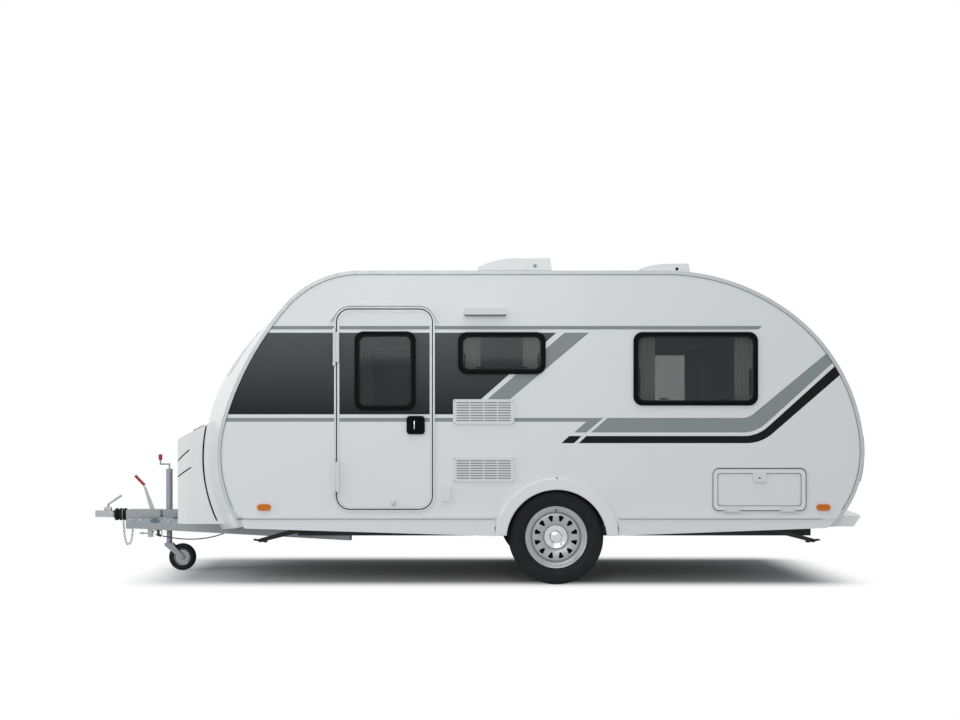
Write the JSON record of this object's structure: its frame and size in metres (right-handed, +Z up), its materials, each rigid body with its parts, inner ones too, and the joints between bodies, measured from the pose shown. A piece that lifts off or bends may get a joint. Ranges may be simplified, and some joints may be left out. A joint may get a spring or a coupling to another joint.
{
  "type": "rounded touring caravan",
  "caption": "Rounded single-axle touring caravan with a hinged entrance door, tinted windows, service hatch, rooflights, jockey wheel, corner steadies and an A-frame drawbar with ball coupling.",
  "frame": {"origin": "on the ground, under the middle of the overall length and width", "axes": "+X to the rear, -X to the coupling, -Y to the entrance door side, +Z up"},
  "size_m": [5.5195, 2.17, 2.2828],
  "materials": {
    "white_skin": "gloss",
    "white_plastic": "satin",
    "trim_aluminium": "satin",
    "floor_ply": "matt",
    "black_frame": "satin",
    "tinted_acrylic": "gloss",
    "lamp_amber": "gloss",
    "lamp_red": "gloss",
    "galvanised_steel": "satin",
    "dark_steel": "satin",
    "rubber": "matt",
    "tyre": "matt",
    "wheel_silver": "satin",
    "chrome": "gloss",
    "red_plastic": "gloss",
    "furniture_wood": "satin",
    "curtain_cloth": "matt",
    "cable_sheath": "matt"
  },
  "bodies": {
    "caravan": {"axle": "dark_steel", "bellows": "rubber", "cable_fittings": "dark_steel", "chain_mounts": "galvanised_steel", "chassis_rails": "dark_steel", "coupling_head": "galvanised_steel", "curtains": "curtain_cloth", "door_frames": "trim_aluminium", "drawbar_beams": "galvanised_steel", "edge_trims": "trim_aluminium", "floor_panel": "floor_ply", "front_panel": "white_skin", "furniture": "furniture_wood", "gas_locker_lid": "white_plastic", "gas_locker_tray": "white_plastic", "hand_levers": "galvanised_steel", "jockey_clamp": "dark_steel", "jockey_tube": "galvanised_steel", "overrun_housing": "galvanised_steel", "rear_bumper": "white_plastic", "rear_panel": "white_skin", "red_grips": "red_plastic", "roof_panel": "white_skin", "rooflight_curbs": "white_plastic", "safety_chain": "galvanised_steel", "side_markers": "lamp_amber", "side_wall_door": "white_skin", "side_wall_far": "white_skin", "skirts": "white_skin", "steady_brackets": "dark_steel", "tail_lamps": "lamp_red", "trailer_cable": "cable_sheath", "wall_fittings": "white_plastic", "wheel_spats": "white_plastic", "window_frames": "black_frame", "window_panes": "tinted_acrylic"},
    "entrance_door": {"door_leaf": "white_skin", "door_window_frame": "black_frame", "door_window_pane": "tinted_acrylic", "door_handle": "black_frame", "door_hinges": "white_plastic"},
    "service_hatch": {"service_door": "white_skin", "service_door_fittings": "white_plastic"},
    "rooflight_large": {"rooflight_large_lid": "white_plastic"},
    "rooflight_small": {"rooflight_small_lid": "white_plastic"},
    "wheel_door_side": {"tyre_door_side": "tyre", "rim_door_side": "wheel_silver", "hub_door_side": "chrome"},
    "wheel_far_side": {"tyre_far_side": "tyre", "rim_far_side": "wheel_silver", "hub_far_side": "chrome"},
    "jockey_inner": {"jockey_leg": "galvanised_steel"},
    "jockey_swivel_fork": {"jockey_fork": "galvanised_steel"},
    "jockey_wheel": {"jockey_tyre": "tyre", "jockey_rim": "wheel_silver"},
    "steady_front_door_side": {"steady_leg_front_door_side": "dark_steel"},
    "steady_front_far_side": {"steady_leg_front_far_side": "dark_steel"},
    "steady_rear_door_side": {"steady_leg_rear_door_side": "dark_steel"},
    "steady_rear_far_side": {"steady_leg_rear_far_side": "dark_steel"}
  },
  "joints": [
    {"name": "entrance_door_hinge", "type": "hinge", "parent": "caravan", "child": "entrance_door", "pos_m": [-0.884, -1.074, 1.16], "axis": [0, 0, -1], "range_deg": [0, 160]},
    {"name": "service_hatch_hinge", "type": "hinge", "parent": "caravan", "child": "service_hatch", "pos_m": [1.962, -1.064, 0.497], "axis": [1, 0, 0], "range_deg": [0, 100]},
    {"name": "rooflight_large_hinge", "type": "hinge", "parent": "caravan", "child": "rooflight_large", "pos_m": [0.106, 0, 2.205], "axis": [0, -1, 0], "range_deg": [0, 50]},
    {"name": "rooflight_small_hinge", "type": "hinge", "parent": "caravan", "child": "rooflight_small", "pos_m": [1.287, 0, 2.205], "axis": [0, -1, 0], "range_deg": [0, 50]},
    {"name": "wheel_door_side_spin", "type": "hinge", "parent": "caravan", "child": "wheel_door_side", "pos_m": [0.603, -0.935, 0.3175], "axis": [0, 1, 0], "continuous": true},
    {"name": "wheel_far_side_spin", "type": "hinge", "parent": "caravan", "child": "wheel_far_side", "pos_m": [0.603, 0.935, 0.3175], "axis": [0, 1, 0], "continuous": true},
    {"name": "jockey_slide", "type": "slide", "parent": "caravan", "child": "jockey_inner", "axis": [0, 0, 1], "range_m": [-0.15, 0.02]},
    {"name": "jockey_swivel", "type": "hinge", "parent": "jockey_inner", "child": "jockey_swivel_fork", "pos_m": [-2.206, 0, 0.2], "axis": [0, 0, 1], "continuous": true},
    {"name": "jockey_wheel_spin", "type": "hinge", "parent": "jockey_swivel_fork", "child": "jockey_wheel", "pos_m": [-2.107, 0, 0.1], "axis": [0, 1, 0], "continuous": true},
    {"name": "steady_front_door_side_drop", "type": "hinge", "parent": "caravan", "child": "steady_front_door_side", "pos_m": [-1.09, -0.7, 0.365], "axis": [0, -1, 0], "range_deg": [0, 47]},
    {"name": "steady_front_far_side_drop", "type": "hinge", "parent": "caravan", "child": "steady_front_far_side", "pos_m": [-1.09, 0.7, 0.365], "axis": [0, -1, 0], "range_deg": [0, 47]},
    {"name": "steady_rear_door_side_drop", "type": "hinge", "parent": "caravan", "child": "steady_rear_door_side", "pos_m": [2.068, -0.7, 0.365], "axis": [0, 1, 0], "range_deg": [0, 47]},
    {"name": "steady_rear_far_side_drop", "type": "hinge", "parent": "caravan", "child": "steady_rear_far_side", "pos_m": [2.068, 0.7, 0.365], "axis": [0, 1, 0], "range_deg": [0, 47]}
  ]
}
